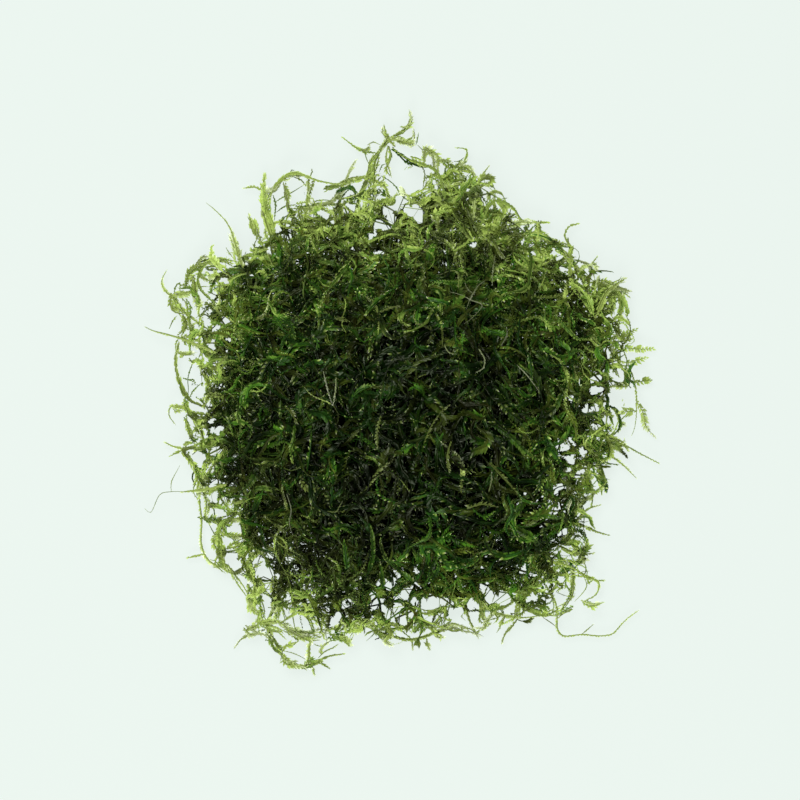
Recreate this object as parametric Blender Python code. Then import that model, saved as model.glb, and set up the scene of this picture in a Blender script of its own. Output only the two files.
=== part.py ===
"""A loose clump of java moss, lying on a surface. The photo looks straight down on it, and its top is +Y.

Hundreds of branching stems are tangled into one mass, which is one solid here. The shoots that stand clear
of the mass and can be told apart are a solid each, with their root ends inside a socket in the mass.
All lengths below are in millimetres and all angles in degrees, unless a name says otherwise.
"""

import math
import random

import bmesh
import bpy
from mathutils import Vector, noise

MM = 0.001

# The mass, seen from above: its reach from the middle every 15 degrees, anticlockwise from +X.
RIM_REACH = (
    44, 45, 44.5, 41, 38.5, 43.5, 42, 39, 43.5, 39, 43, 41,
    38.5, 40.5, 42.5, 44.5, 49, 48.5, 45, 43.5, 45, 47, 41, 42,
)
CROWN_HEIGHT = 24.0
CROWN_OFF_CENTRE = Vector((2.0, -4.0))
RIM_HEIGHT = 3.6
CROWN_SHAPE = (2.1, 1.0)
FLAT_SHARE = 0.62
UNDERCUT = 1.0
RIM_LOBES = (7.0, 2.6)
LUMP_WIDTHS_AND_HEIGHTS = ((17.0, 2.6), (8.5, 2.4))
MASS_SUBDIVISIONS = 5
MASS_DECIMATION = 0.26
SHARP_ANGLE = 50

# Shoots half sunk in the mass, which show as strands on it.
TOP_LOCKS = 28
RIM_LOCKS = 18
LOCK_POINTS = 6
LOCK_RADIUS = 1.3
LOCK_TIP_RADIUS = 0.5
LOCK_SEED = 7

# Shoots that stand clear of the mass.
SHOOT_RADIUS = 0.62
SHOOT_TIP_RADIUS = 0.32
SIDE_SHOOT_SHARE = 0.8
SOCKET_GAP = 0.4
ROUTE_STEP = 4.0
TUBE_RESOLUTION = 1
WELD = 0.0005

MOSS_GREEN = (0.045, 0.085, 0.018, 1.0)
SHOOT_GREEN = (0.20, 0.33, 0.06, 1.0)

# Each clear shoot's route from root to tip as (x, y, z), and its side shoots' routes from where they leave it.
CLEAR_SHOOTS = {
    "upper_left_hair": [
        [(-30.5, 21, 6), (-32.3, 26, 6), (-33.5, 30.7, 6.5), (-35.3, 34.4, 6), (-37.7, 37.3, 4.5), (-39.3, 38.6, 3)],
    ],
    "upper_left_bud": [
        [(-24.5, 22.5, 9), (-27.5, 29.5, 8.5), (-29.7, 32.3, 8), (-30.4, 35.7, 8)],
    ],
    "upper_left_tall_shoot": [
        [(-23, 24, 5), (-25.6, 30.7, 4), (-27.4, 36.1, 3.5), (-27.8, 40.3, 3), (-27.7, 43.9, 2.5)],
        [(-27.8, 41, 3), (-29.6, 41.9, 2.8), (-31.8, 41.7, 2)],
        [(-27.6, 39, 3), (-24.5, 42.9, 4.5), (-21.5, 44.4, 5.5), (-17, 42.9, 6), (-13.2, 42.2, 6), (-10.4, 42.5, 5)],
    ],
    "top_plume": [
        [(-10, 33.5, 5), (-8.8, 39, 4), (-7, 43.6, 3), (-6.2, 47, 2.8), (-4.4, 49.3, 2.6), (-3, 51.4, 2.4), (-3.9, 53.5, 2)],
        [(-5, 48.7, 2.6), (-8.3, 49.3, 2.4), (-11.8, 51.8, 1.8)],
        [(-3, 51.3, 2.4), (-0.5, 52.8, 2.4), (1.7, 54.4, 2.2), (1.7, 56.3, 1.8)],
        [(-1.2, 52.4, 2.4), (0.8, 51.2, 2.2), (2.3, 52.2, 1.8)],
    ],
    "top_arch": [
        [(8.6, 39, 8), (7.2, 44.2, 7), (4.5, 46, 6.5), (2.3, 46.8, 6), (0, 48, 5), (-1.5, 49.3, 4.2)],
    ],
    "top_hook": [
        [(10.4, 37.5, 4), (11.2, 43.6, 3.4), (12.7, 47, 3), (13, 49.4, 2.6), (11, 49.8, 2.2)],
    ],
    "top_right_twig": [
        [(14, 34.5, 6), (14.8, 40.3, 4.6), (15.4, 43, 3.4), (17.5, 46.1, 2)],
    ],
    "right_shoulder_arc": [
        [(15.6, 33.5, 11), (17.8, 38.2, 8), (20.2, 38.6, 6.5), (22.5, 37.1, 5), (23.9, 35.2, 4), (26, 34.7, 3), (29.2, 34.8, 2)],
    ],
    "right_shoulder_hook": [
        [(33.4, 21.5, 6), (33.9, 27.2, 4.6), (33.7, 29.9, 4), (32.7, 32, 3.2), (33.5, 33.8, 2.6), (35.3, 34.5, 2)],
    ],
    "right_spur": [
        [(36.2, 17.5, 5), (37.6, 23.3, 4), (38.1, 26.1, 3), (39.3, 27.8, 2)],
    ],
    "right_claw": [
        [(38.4, 15, 8), (41, 20.5, 7), (44.5, 23.2, 5.4)],
        [(41.5, 20.9, 7), (43.6, 21.3, 6), (45.7, 20.8, 5)],
    ],
    "right_long_shoot": [
        [(38.6, 13, 4.4), (43.6, 10.2, 3.6), (45.6, 5.9, 3), (46.9, 1.9, 2.8), (47.2, -2.9, 2.5), (46.9, -6.4, 2.2), (46.3, -8.1, 2)],
        [(43.4, 10.4, 3.6), (44.9, 12.1, 3.6), (47, 13.1, 3)],
        [(44, 9.5, 3.4), (47.6, 9.2, 3), (50.5, 9.3, 2)],
        [(45.4, 6.5, 3), (49.1, 7.5, 2.4)],
        [(46.7, 2.4, 2.8), (48.6, 2.8, 2.4), (50, 2.9, 2)],
        [(47.2, -1.2, 2.6), (48.7, -3.9, 2.4), (49.1, -6.3, 2), (51, -8.4, 1.6)],
        [(47.2, -3.1, 2.5), (44.6, -3.4, 2.8)],
    ],
    "right_lower_hair": [
        [(38.5, -7.8, 5.4), (42.1, -9.2, 4.8), (45.3, -10.4, 4), (47.7, -11.7, 3), (51.7, -13.7, 1.6)],
    ],
    "right_lower_spike": [
        [(36.5, -10.4, 3.4), (42, -12.4, 3), (44.3, -13.9, 2.4), (47.2, -16.7, 1.6)],
    ],
    "low_right_hook": [
        [(31.5, -23.2, 5), (34.6, -25.2, 4.4), (37.3, -22.9, 3.6), (39.8, -22.2, 2.6)],
        [(34.4, -25.1, 4.4), (38.4, -27.2, 3), (41.5, -28.2, 1.8)],
    ],
    "low_right_spur": [
        [(29.8, -29.4, 4), (35, -32, 3), (38.4, -31.9, 2)],
    ],
    "low_right_loop": [
        [(27.5, -32.5, 6.4), (33.6, -34.4, 5), (36.7, -36.3, 4), (39.5, -37.7, 3), (39.1, -40.1, 2.4), (36.9, -41.4, 2.2)],
        [(39.1, -37.4, 3), (40.7, -37.3, 2.4)],
        [(37.1, -41.3, 2.2), (38.6, -42.1, 2), (40.5, -41.8, 1.6)],
    ],
    "lower_right_runner": [
        [(27.4, -36, 3.6), (30.9, -42, 3.2), (31.2, -46.8, 2.2), (32.6, -48.6, 1.8), (36.3, -48.3, 1.8), (39.7, -48.6, 1.6),
         (42.4, -48.2, 1.6), (44.1, -46.4, 1.6), (45.9, -44.7, 1.6), (47.5, -43.6, 1.6)],
        [(36.2, -48.3, 1.8), (38.5, -46.3, 1.8)],
    ],
    "bottom_right_garland": [
        [(13.8, -36.5, 5.4), (16.6, -42, 5), (19.6, -44, 4), (24, -44.8, 3), (28, -44.4, 2.6)],
        [(23.4, -44.8, 3), (22.2, -46.4, 2.6), (20.7, -48.2, 2), (20.2, -49.9, 1.6)],
    ],
    "bottom_twig": [
        [(11.6, -37.5, 3.4), (13.2, -44.3, 2.8), (14.4, -47, 2.2), (15.3, -48.8, 1.8)],
        [(14.9, -48, 2), (17.8, -46, 2.4)],
    ],
    "bottom_garland": [
        [(-8.5, -42, 4), (-5.5, -47, 3), (-2, -48.6, 2.4), (2.3, -49.3, 2), (7.4, -47.6, 2.4), (11, -46.6, 2)],
        [(2, -49.2, 2), (2.2, -51.3, 1.6)],
    ],
    "bottom_left_garland": [
        [(-23.5, -38.5, 3.8), (-26.9, -46, 3), (-25.2, -50.3, 2.4), (-23.3, -53.4, 2), (-20.5, -54.6, 1.8), (-18.1, -54.3, 1.8),
         (-15, -52.7, 2.2), (-11.9, -52.1, 2.6)],
        [(-18.2, -54.3, 1.8), (-17.6, -56.4, 1.6)],
        [(-16.6, -53.7, 2), (-14.6, -55.2, 1.6)],
        [(-26.8, -46.8, 2.9), (-29.6, -48, 2.6), (-32.2, -49, 2.2), (-33.6, -50.7, 1.6)],
    ],
    "left_long_stem": [
        [(-37.2, -12.5, 3.4), (-40.6, -19.6, 2.6), (-40.4, -25.3, 2.2), (-40.5, -30.1, 2), (-38.8, -33.6, 1.8), (-34.6, -35.5, 2.2),
         (-31.9, -38.6, 2.4), (-30, -42.4, 2.4)],
        [(-39.9, -32, 1.9), (-43.1, -32.8, 1.6)],
        [(-34.8, -35.4, 2.2), (-36.9, -31, 3), (-36.6, -26, 3.8)],
    ],
    "left_far_hair": [
        [(-35, -17.8, 7.6), (-41.8, -19.3, 6.6), (-46.6, -19.4, 5), (-48.7, -20.1, 4), (-50.5, -23.6, 2.4), (-51.7, -23, 2)],
        [(-46.2, -19.4, 5.1), (-46.2, -17.4, 5), (-44.6, -14.2, 4.6)],
    ],
    "left_tuft": [
        [(-37.4, -8, 4), (-42.8, -10.6, 3.6), (-45.7, -10.4, 3), (-47.6, -9.6, 2)],
        [(-43.6, -10.7, 3.5), (-46.6, -12.2, 2.2)],
    ],
    "left_curl": [
        [(-37, -4.2, 4.6), (-42.5, -3.4, 4), (-44.9, -2.2, 3.4), (-46.5, -2.3, 3), (-46.9, -4, 2.6), (-45.9, -5.6, 2.4)],
    ],
    "left_thick_shoot": [
        [(-36, 1.2, 4.4), (-42.6, 0.4, 3.4), (-45.2, 3.2, 2.6), (-45.7, 6.6, 2.4), (-44.2, 9.6, 2.6)],
    ],
    "left_hair": [
        [(-37, 8.4, 7), (-42.8, 10.8, 6), (-46.6, 12, 4.8), (-50, 12.9, 3), (-51.7, 13.7, 2)],
    ],
    "left_upper_shoot": [
        [(-37.8, 12.4, 4.4), (-43, 16.2, 3.6), (-45.9, 19.6, 3), (-47.6, 20.9, 2.6), (-48.4, 23, 2.2), (-47.5, 25, 1.8)],
    ],
    "upper_left_small_arch": [
        [(-36.4, 17.4, 5), (-40.6, 21.6, 4.4), (-40.3, 25.2, 4), (-37.8, 27.3, 4), (-35.6, 27.3, 4)],
    ],
}


def reach(angle):
    """The mass's reach from the middle in this direction (radians): a smooth closed curve through RIM_REACH."""
    turn = (math.degrees(angle) % 360) * len(RIM_REACH) / 360
    first = int(turn) % len(RIM_REACH)
    a, b, c, d = (RIM_REACH[(first + k) % len(RIM_REACH)] for k in (-1, 0, 1, 2))
    t = turn - int(turn)
    count, depth = RIM_LOBES
    lobe = depth * noise.noise(count * Vector((math.cos(angle), math.sin(angle), 0.3)) / 2)
    return lobe + 0.5 * (2 * b + (c - a) * t + (2 * a - 5 * b + 4 * c - d) * t**2 + (3 * b - a - 3 * c + d) * t**3)


def lump(x, y):
    """The height of the surface's lumps and hollows at this place."""
    return sum(
        height * noise.noise(Vector((x / width, y / width, width)))
        for width, height in LUMP_WIDTHS_AND_HEIGHTS
    )


def share_of_reach(x, y):
    return math.hypot(x, y) / reach(math.atan2(y, x))


def top_height(x, y):
    """The height of the mass's upper surface, which is highest a little off its middle."""
    share = min(1.0, share_of_reach(x, y))
    power, steepness = CROWN_SHAPE
    dome = (1 - share**power) ** steepness
    lean = 1 + 0.003 * Vector((x, y)).dot(CROWN_OFF_CENTRE)
    return RIM_HEIGHT + (CROWN_HEIGHT - RIM_HEIGHT) * dome * lean + lump(x, y) * min(1, 5 * (1 - share))


def under_height(x, y):
    """The height of the underside, which passes below the surface that it is cut flat on."""
    rise = max(0.0, (min(1.0, share_of_reach(x, y)) - FLAT_SHARE) / (1 - FLAT_SHARE))
    return (RIM_HEIGHT + UNDERCUT) * rise**1.4 - UNDERCUT


def collection(name):
    made = bpy.data.collections.new(name)
    bpy.context.scene.collection.children.link(made)
    return made


def material(name, colour, roughness):
    made = bpy.data.materials.new(name)
    made.use_nodes = True
    surface = made.node_tree.nodes["Principled BSDF"]
    surface.inputs["Base Color"].default_value = colour
    surface.inputs["Roughness"].default_value = roughness
    surface.inputs["Metallic"].default_value = 0.0
    made.diffuse_color = colour
    return made


def new_object(name, data, into):
    made = bpy.data.objects.new(name, data)
    into.objects.link(made)
    return made


def hide_helper(obj):
    obj.hide_render = True
    obj.display_type = "WIRE"


def smooth_route(points):
    """Points about ROUTE_STEP apart on a smooth curve through the route's own points, and each one's share of the way."""
    knots = [Vector(p) for p in points]
    knots = [2 * knots[0] - knots[1], *knots, 2 * knots[-1] - knots[-2]]
    found = []
    for a, b, c, d in zip(knots, knots[1:], knots[2:], knots[3:]):
        steps = max(1, round((c - b).length / ROUTE_STEP))
        for k in range(steps):
            t = k / steps
            found.append(0.5 * (2 * b + (c - a) * t + (2 * a - 5 * b + 4 * c - d) * t**2 + (3 * b - a - 3 * c + d) * t**3))
    found.append(knots[-2])
    return found


def tube(name, points, root_radius, tip_radius, into, grown=0.0):
    """A round tapered strand as a closed mesh. grown makes it thicker and longer all round, for a cutter."""
    curve = bpy.data.curves.new(name, "CURVE")
    curve.dimensions = "3D"
    curve.bevel_depth = MM
    curve.bevel_resolution = TUBE_RESOLUTION
    curve.use_fill_caps = True
    points = [Vector(p) for p in points]
    if grown:
        points[0] = points[0] + (points[0] - points[1]).normalized() * grown
        points[-1] = points[-1] + (points[-1] - points[-2]).normalized() * grown
    spline = curve.splines.new("POLY")
    spline.points.add(len(points) - 1)
    for k, place in enumerate(points):
        share = k / (len(points) - 1)
        spline.points[k].co = (*(place * MM), 1)
        spline.points[k].radius = root_radius + (tip_radius - root_radius) * share**2 + grown
    strand = new_object(name + "_curve", curve, into)
    graph = bpy.context.evaluated_depsgraph_get()
    mesh = bpy.data.meshes.new_from_object(strand.evaluated_get(graph))
    bpy.data.objects.remove(strand)
    weld(mesh)
    return new_object(name, mesh, into)


def weld(mesh):
    """Joins points that lie closer together than WELD, such as those of a tube's caps."""
    edit = bmesh.new()
    edit.from_mesh(mesh)
    bmesh.ops.remove_doubles(edit, verts=edit.verts, dist=WELD * MM)
    bmesh.ops.dissolve_degenerate(edit, edges=edit.edges, dist=WELD * MM)
    bmesh.ops.recalc_face_normals(edit, faces=edit.faces)
    edit.to_mesh(mesh)
    edit.free()
    mesh.shade_smooth()
    mesh.set_sharp_from_angle(angle=math.radians(SHARP_ANGLE))


def apply_modifiers(obj):
    graph = bpy.context.evaluated_depsgraph_get()
    mesh = bpy.data.meshes.new_from_object(obj.evaluated_get(graph))
    obj.modifiers.clear()
    weld(mesh)
    obj.data = mesh


def join_by_union(obj, others):
    for other in others:
        union = obj.modifiers.new("join_" + other.name, "BOOLEAN")
        union.operation = "UNION"
        union.object = other
        hide_helper(other)
    apply_modifiers(obj)


def mass_form(into):
    """The mass without its strands: a sphere pressed to the outline, domed, lumpy, and cut flat at z = 0."""
    edit = bmesh.new()
    bmesh.ops.create_icosphere(edit, subdivisions=MASS_SUBDIVISIONS, radius=1.0)
    for vertex in edit.verts:
        across, up = Vector(vertex.co[:2]), vertex.co.z
        wide = across * reach(math.atan2(across.y, across.x))
        height = top_height(*wide) if up >= 0 else under_height(*wide)
        vertex.co = Vector((*wide, height)) * MM
    mesh = bpy.data.meshes.new("mass_form")
    edit.to_mesh(mesh)
    edit.free()
    form = new_object("mass_form", mesh, into)
    fewer = form.modifiers.new("fewer_faces", "DECIMATE")
    fewer.ratio = MASS_DECIMATION
    mesh = bpy.data.meshes.new_from_object(form.evaluated_get(bpy.context.evaluated_depsgraph_get()))
    bpy.data.objects.remove(form)
    edit = bmesh.new()
    edit.from_mesh(mesh)
    cut = bmesh.ops.bisect_plane(
        edit, geom=[*edit.verts, *edit.edges, *edit.faces], plane_co=(0, 0, 0), plane_no=(0, 0, -1), clear_outer=True
    )
    rim = [e for e in cut["geom_cut"] if isinstance(e, bmesh.types.BMEdge)]
    bmesh.ops.contextual_create(edit, geom=rim)
    bmesh.ops.recalc_face_normals(edit, faces=edit.faces)
    edit.to_mesh(mesh)
    edit.free()
    return mesh


def top_lock_routes(chance):
    """Strands that wander over the upper surface, spread evenly, with their tips lifted off it."""
    golden_angle = math.pi * (3 - math.sqrt(5))
    for k in range(TOP_LOCKS):
        angle = k * golden_angle
        away = 0.88 * math.sqrt((k + 0.8) / TOP_LOCKS) * reach(angle)
        x, y = away * math.cos(angle), away * math.sin(angle)
        heading = angle + chance.choice((-1, 1)) * chance.uniform(0.8, 2.0)
        step = chance.uniform(14, 20) / (LOCK_POINTS - 1)
        bend = chance.uniform(-0.3, 0.3)
        tip_lift = chance.uniform(2.2, 4.4)
        route = []
        for point in range(LOCK_POINTS):
            share = point / (LOCK_POINTS - 1)
            lift = -1.2 + 1.6 * min(1, 3 * share) + tip_lift * share**3
            route.append((x, y, top_height(x, y) + lift))
            heading += bend + 0.2 * math.sin(2.4 * point + k)
            if share_of_reach(x, y) > 0.9:
                heading = turned_towards(heading, math.atan2(-y, -x), 0.25)
            x += step * math.cos(heading)
            y += step * math.sin(heading)
        yield route


def rim_lock_routes(chance):
    """Strands that stand out all round the rim, low over the surface that the clump lies on."""
    for k in range(RIM_LOCKS):
        angle = 2 * math.pi * (k + chance.uniform(-0.3, 0.3)) / RIM_LOCKS
        heading = angle + chance.uniform(-0.9, 0.9)
        away = 0.82 * reach(angle)
        x, y = away * math.cos(angle), away * math.sin(angle)
        z = chance.uniform(3.0, 6.0)
        fall = chance.uniform(-0.25, 0.05)
        step = chance.uniform(10, 14) / (LOCK_POINTS - 1)
        bend = chance.uniform(-0.22, 0.22)
        route = []
        for point in range(LOCK_POINTS):
            route.append((x, y, max(LOCK_RADIUS + 0.4, z)))
            heading += bend
            x += step * math.cos(heading)
            y += step * math.sin(heading)
            z += fall
        yield route


def turned_towards(heading, wanted, share):
    off = (wanted - heading + math.pi) % (2 * math.pi) - math.pi
    return heading + share * off


def keep_largest_body(mesh):
    """Removes crumbs that the cuts have parted from the mass."""
    edit = bmesh.new()
    edit.from_mesh(mesh)
    left = set(edit.verts)
    bodies = []
    while left:
        body, front = set(), [left.pop()]
        while front:
            vertex = front.pop()
            body.add(vertex)
            near = {e.other_vert(vertex) for e in vertex.link_edges} & left
            left -= near
            front += near
        bodies.append(body)
    crumbs = [v for body in sorted(bodies, key=len)[:-1] for v in body]
    bmesh.ops.delete(edit, geom=crumbs, context="VERTS")
    edit.to_mesh(mesh)
    edit.free()


def make_tangle(parts, locks, sockets, colour):
    """The mass: its form joined with every strand that is half sunk in it, less the sockets of the clear shoots."""
    tangle = new_object("moss_tangle", mass_form(locks), parts)
    chance = random.Random(LOCK_SEED)
    helpers = collection("strands on the mass")
    for k, route in enumerate([*top_lock_routes(chance), *rim_lock_routes(chance)]):
        hide_helper(tube(f"strand_{k:02d}", route, LOCK_RADIUS, LOCK_TIP_RADIUS, helpers))
    for name, operation, operands in (("add_strands", "UNION", helpers), ("cut_sockets", "DIFFERENCE", sockets)):
        boolean = tangle.modifiers.new(name, "BOOLEAN")
        boolean.operation = operation
        boolean.operand_type = "COLLECTION"
        boolean.collection = operands
    apply_modifiers(tangle)
    keep_largest_body(tangle.data)
    tangle.data.materials.clear()
    tangle.data.materials.append(colour)


def make_clear_shoots(parts, helpers, sockets, colour):
    """Each shoot that stands clear, joined with its side shoots, and the socket that it leaves in the mass."""
    for name, routes in CLEAR_SHOOTS.items():
        main, *sides = (smooth_route(route) for route in routes)
        shoot = tube(name, main, SHOOT_RADIUS, SHOOT_TIP_RADIUS, parts)
        shoot.data.materials.append(colour)
        side_shoots = [
            tube(f"{name}_side_{k}", route, SHOOT_RADIUS * SIDE_SHOOT_SHARE, SHOOT_TIP_RADIUS, helpers)
            for k, route in enumerate(sides)
        ]
        join_by_union(shoot, side_shoots)
        for k, route in enumerate([main, *sides]):
            thickness = SHOOT_RADIUS * (SIDE_SHOOT_SHARE if k else 1)
            hide_helper(tube(f"{name}_socket_{k}", route, thickness, SHOOT_TIP_RADIUS, sockets, grown=SOCKET_GAP))


def main():
    for old in list(bpy.data.objects):
        bpy.data.objects.remove(old)
    parts = collection("java moss")
    helpers = collection("side shoots")
    sockets = collection("sockets")
    make_clear_shoots(parts, helpers, sockets, material("leafy shoot", SHOOT_GREEN, 0.5))
    make_tangle(parts, helpers, sockets, material("moss", MOSS_GREEN, 0.6))


main()
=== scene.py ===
"""A loose clump of java moss, seen from straight above on a pale, softly lit floor.

Lengths are in millimetres and turned into metres where a mesh is made. The tables of holes and routes are in
tenths of a millimetre, and the lamps and the floor in metres. Colours up to 255 are sRGB, the others linear.
"""

import bpy
import numpy as np
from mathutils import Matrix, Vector
from mathutils.bvhtree import BVHTree


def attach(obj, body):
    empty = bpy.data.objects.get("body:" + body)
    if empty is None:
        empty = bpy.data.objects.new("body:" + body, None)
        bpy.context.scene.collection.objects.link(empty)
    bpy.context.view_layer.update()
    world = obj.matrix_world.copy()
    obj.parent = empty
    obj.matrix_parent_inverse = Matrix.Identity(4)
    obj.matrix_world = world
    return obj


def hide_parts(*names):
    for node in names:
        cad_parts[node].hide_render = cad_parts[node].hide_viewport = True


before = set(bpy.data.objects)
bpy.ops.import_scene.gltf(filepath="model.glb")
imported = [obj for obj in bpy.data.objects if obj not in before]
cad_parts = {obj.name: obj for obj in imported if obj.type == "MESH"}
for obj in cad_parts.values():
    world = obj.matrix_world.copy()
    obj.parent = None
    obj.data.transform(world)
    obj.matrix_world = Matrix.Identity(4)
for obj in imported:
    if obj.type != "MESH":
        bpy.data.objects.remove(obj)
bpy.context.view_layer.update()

MM = 0.001
FULL_TURN = 2 * np.pi

# The view: one pixel of the square picture is this wide at this height above the floor.
PICTURE_PIXELS = 800
PIXEL = 0.2
SHARP_HEIGHT = 6.0
PICTURE_MIDDLE = (-0.4, -1.0)
LENS = 120.0
SENSOR = 36.0

# Each lamp's name, place, width and strength, and the light that comes from all round.
LAMPS = (
    ("soft box", (-0.1, 0.22, 0.55), 0.3, 6.0),
    ("fill", (-0.05, -0.35, 0.45), 0.3, 4.5),
)
SKY_TINT = (0.94, 0.97, 0.85, 1)
SKY_STRENGTH = 0.3

# The floor's colour, how much it glows, its share that takes shade, half its width and how low it lies.
FLOOR_COLOUR = (235, 245, 239)
FLOOR_GLOW = 0.92
FLOOR_SHADE = 0.05
FLOOR_HALF = 3.0
FLOOR_LOW = -0.0001

# The shoots: a thin stem, thicker by PLUMPNESS where its leaves are closed, with a leaf every LEAF_STEP on
# alternate sides. A leaf is widest at a share of its length, folded by a share of its width and leans down.
STEM_RADIUS = 0.12
PLUMPNESS = 1.3
LEAF_STEP = 0.3
LEAF_LENGTH = 1.2
LEAF_WIDTH = 0.62
LEAF_WIDEST = 0.38
LEAF_FOLD = 0.16
LEAF_LEAN = -0.35

# The largest share of a shoot's leaves with a painted glint on the tip, and that painted glint's age and
# added light.
GLINTS = 0.3
GLINT_AGE = 0.99
GLINT_LIGHT = 0.3

# The surface of the moss: its gloss outside and inside the clump, the share of light that goes through it,
# how bright its colour is at the least and most painted light, and the least and most value that a mesh
# carries.
GLOSS = 0.16
INNER_GLOSS = 0.08
ROUGHNESS = 0.26
GLOSS_TINT = (0.85, 0.94, 0.7, 1)
SEE_THROUGH = 0.5
LIGHT_RANGE = (0.004, 1.15)
COLOUR_VALUES = (0.004, 0.996)

# The thick middle's centre and half widths, and at how many half widths the rim begins and is fully thin.
THICK_CENTRE = (2, -9)
THICK_HALVES = (26, 24)
RIM_FROM = 0.4
RIM_FULL = 2.05

# Age and painted light in the thick middle, and what the rim adds to them: the rim is younger and painted
# lighter.
MIDDLE_AGE = 0.39
RIM_AGE = 0.29
MIDDLE_LIGHT = 0.178
RIM_LIGHT = 0.7

# The share of shoots that are old and of those that are fresh, with their ages.
OLD_SHARE = 0.26
OLD_AGES = (0.08, 0.24)
FRESH_SHARE = 0.014
FRESH_AGES = (0.64, 0.82)

# How deep under the top of the mass only a third of the painted light is left, what share of it the rim
# keeps at any depth, and how strongly the painted light varies between painted hollows and lumps.
DARK_DEPTH = 2.3
OPEN_RIM = 0.7
HOLLOWS = 0.95

# The holes are kept open below HOLE_TOP, and stems bend aside from them below BENT_FROM, most of all below
# BENT_FULLY. Nothing lies lower than LOWEST.
HOLE_TOP = 13
BENT_FROM = 14
BENT_FULLY = 8
LOWEST = 0.02

# How far the dense moss and the loose shoots round it reach, every 15 degrees from +X towards +Y.
DENSE_REACH = (
    40.0, 45.0, 45.8, 42.0, 41.0, 46.5, 38.0, 40.0, 40.5, 40.5, 44.5, 41.0,
    38.0, 42.0, 42.5, 46.0, 50.0, 48.5, 45.5, 44.5, 50.5, 49.0, 42.0, 42.5,
)
FRINGE_REACH = (
    44.0, 46.0, 46.0, 42.5, 41.5, 46.5, 42.0, 41.5, 43.0, 42.0, 44.5, 42.5,
    40.5, 43.5, 43.5, 47.0, 53.0, 50.0, 47.0, 46.0, 52.0, 50.0, 42.5, 43.5,
)

# Where the clump lets the floor show: middle x and y, and about how far from there it is open.
HOLES = (
    (287, -66, 9), (272, -73, 8), (254, -74, 9), (260, -92, 10), (302, -40, 6), (308, -95, 13),
    (320, -108, 14), (338, -95, 12), (335, -128, 15), (360, -115, 13), (364, -150, 13), (355, -168, 13),
    (332, -150, 10), (328, -165, 9), (294, -140, 9), (275, -153, 8), (294, -165, 9), (310, -188, 13),
    (325, -185, 9), (277, -190, 8), (283, -205, 8), (298, -230, 17), (312, -224, 10), (288, -245, 8),
    (324, -275, 11), (330, -310, 14), (244, -350, 11), (260, -360, 10), (160, -344, 8), (166, -388, 14),
    (176, -408, 15), (200, -406, 17), (214, -424, 20), (260, -406, 12), (290, -384, 10), (332, -394, 12),
    (354, -384, 20), (374, -392, 16), (320, -368, 9), (264, -432, 10), (144, -420, 15), (150, -448, 16),
    (110, -444, 18), (86, -414, 12), (6, -343, 12), (28, -352, 11), (-14, -364, 15), (-30, -376, 14),
    (-46, -374, 9), (30, -381, 11), (14, -388, 10), (2, -402, 16), (26, -414, 11), (-58, -398, 9),
    (-52, -412, 14), (-55, -426, 10), (-30, -434, 15), (-10, -428, 14), (-18, -450, 16), (4, -446, 16),
    (60, -420, 20), (45, -420, 12), (76, -416, 15), (94, -414, 11), (106, -442, 18), (54, -450, 12),
    (10, -479, 9), (-116, -392, 8), (-110, -410, 9), (-115, -422, 9), (55, -375, 8), (86, -345, 7),
    (106, -362, 8), (-133, -450, 14), (-280, -350, 22), (-296, -334, 10), (-268, -378, 14),
    (-270, -416, 14), (-266, -440, 16), (-232, -406, 11), (-251, -364, 8), (-248, -430, 9),
    (-226, -456, 10), (-212, -454, 13), (-172, -466, 8), (-243, -490, 14), (-220, -510, 14),
    (-210, -530, 16), (-170, -510, 15), (-204, -508, 12), (-144, -506, 13), (-410, -126, 17),
    (-373, -112, 12), (-383, -148, 10), (-376, -176, 11), (-378, -206, 12), (-394, -208, 9),
    (-372, -240, 16), (-336, -266, 20), (-386, -275, 19), (-384, -310, 20), (-340, -330, 18),
    (-324, -294, 10), (-344, -300, 16), (-442, 102, 17), (-437, 50, 16), (-436, 20, 10), (-414, 40, 17),
    (-406, 6, 13), (-410, -28, 17), (-422, -60, 12), (-396, -76, 10), (-392, 24, 8), (-388, -12, 9),
    (-370, -70, 13), (-380, -50, 9), (-390, 144, 12), (-354, 148, 11), (-374, 134, 10), (-382, 104, 10),
    (-392, 74, 11), (-374, 64, 8), (-348, 110, 8), (-410, 136, 8), (-352, 88, 8), (-446, 146, 13),
    (-426, 190, 12), (-450, 178, 9), (-400, 188, 9), (-362, 18, 8), (-410, 228, 14), (-380, 251, 10),
    (-392, 232, 8), (-356, 230, 9), (-382, 196, 10), (-245, 370, 20), (-245, 395, 18), (-210, 396, 22),
    (-215, 423, 20), (-162, 410, 22), (-205, 362, 11), (-140, 386, 13), (-156, 364, 12), (-10, 454, 18),
    (14, 432, 32), (-4, 386, 15), (-48, 430, 9), (54, 450, 9), (-25, 364, 18), (26, 366, 20),
    (-42, 340, 16), (-60, 320, 11), (-46, 286, 11), (-98, 290, 9), (-100, 376, 11), (-266, 290, 10),
    (124, 446, 11), (142, 300, 9), (260, 284, 9), (260, 300, 8), (242, 306, 7), (304, 286, 9),
    (316, 276, 8), (330, 250, 13), (344, 240, 9), (374, 214, 9), (358, 228, 8), (374, 250, 10),
    (413, 83, 11), (388, 34, 14), (355, 22, 9), (386, 10, 13), (335, -6, 13), (368, -28, 11),
    (386, -26, 10), (408, -48, 12), (430, -46, 12), (434, 36, 14), (430, -6, 24), (390, -64, 9),
    (410, -74, 8),
)
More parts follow.
